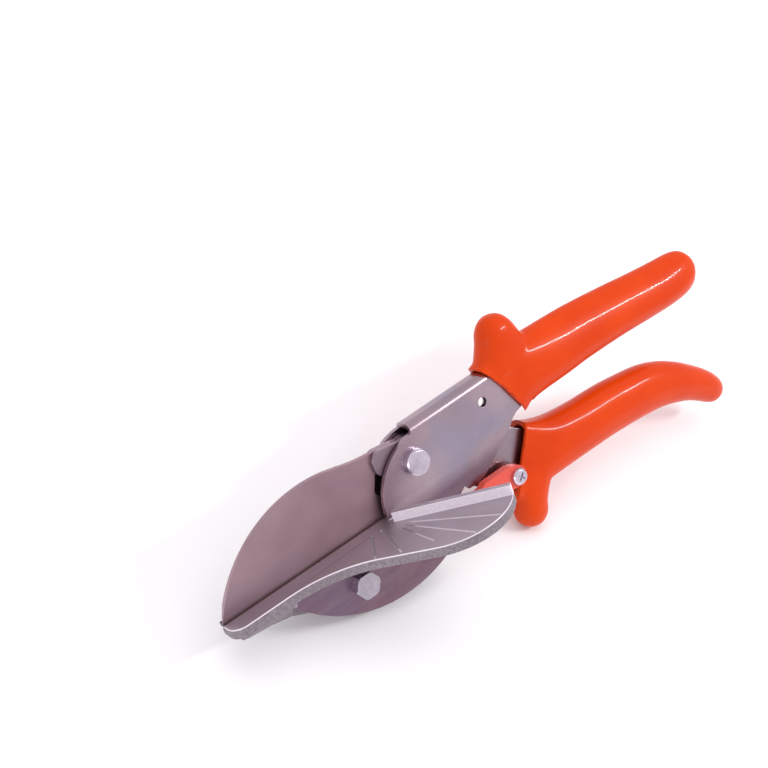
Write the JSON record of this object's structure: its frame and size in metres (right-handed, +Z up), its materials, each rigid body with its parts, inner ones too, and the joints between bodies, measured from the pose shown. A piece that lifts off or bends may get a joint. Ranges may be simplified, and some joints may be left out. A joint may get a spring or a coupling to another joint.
{
  "type": "anvil mitre shear",
  "caption": "Hand shear with a leaf-shaped blade that closes on a mitre table with angled fences, two moulded grips and a thumb latch that holds it shut.",
  "frame": {"origin": "on the top face of the table's near wing, above the table's bolt and 10 mm from the cutting line", "axes": "+Z up as the tool lies on a level surface, +X along the tool towards the handles' ends, so the table's face leans towards +Y and the handles rise slightly"},
  "size_m": [0.2687, 0.0874, 0.0814],
  "materials": {
    "channel": "polished",
    "anvil_table": "ground and polished",
    "anvil_strip": "satin",
    "table_bolt": "zinc plated",
    "table_washer": "zinc plated",
    "table_nut": "zinc plated",
    "table_pin": "plain",
    "upper_grip": "gloss",
    "pivot_bolt": "zinc plated",
    "pivot_washer": "zinc plated",
    "pivot_nut": "zinc plated",
    "spring_cup": "matt",
    "opening_spring": "drawn wire",
    "blade": "ground",
    "lower_lever": "satin",
    "blade_rivets": "plain",
    "pivot_bush": "satin",
    "shim_near": "satin",
    "shim_far": "satin",
    "spring_saddle": "matt",
    "lower_grip": "gloss",
    "latch_screw": "zinc plated",
    "latch_washer": "spring steel",
    "latch_spacer": "plain",
    "latch_nut": "zinc plated",
    "latch": "gloss"
  },
  "bodies": {
    "frame": {"channel": "channel", "anvil_table": "anvil_table", "anvil_strip": "anvil_strip", "table_bolt": "table_bolt", "table_washer": "table_washer", "table_nut": "table_nut", "table_pin": "table_pin", "upper_grip": "upper_grip", "pivot_bolt": "pivot_bolt", "pivot_washer": "pivot_washer", "pivot_nut": "pivot_nut", "spring_cup": "spring_cup", "opening_spring": "opening_spring"},
    "jaw": {"blade": "blade", "lower_lever": "lower_lever", "blade_rivets": "blade_rivets", "pivot_bush": "pivot_bush", "shim_near": "shim_near", "shim_far": "shim_far", "spring_saddle": "spring_saddle", "lower_grip": "lower_grip", "latch_screw": "latch_screw", "latch_washer": "latch_washer", "latch_spacer": "latch_spacer", "latch_nut": "latch_nut"},
    "latch": {"latch": "latch"}
  },
  "joints": [
    {"name": "jaw_hinge", "type": "hinge", "parent": "frame", "child": "jaw", "pos_m": [0.03952, 0.01634, 0.01125], "axis": [0.0681, 0.829, -0.555], "range_deg": [0, 26], "deforming": ["opening_spring"]},
    {"name": "latch_hinge", "type": "hinge", "parent": "jaw", "child": "latch", "pos_m": [0.08217, -0.00618, -0.00455], "axis": [0.0681, 0.829, -0.555], "range_deg": [-50, 5]}
  ]
}
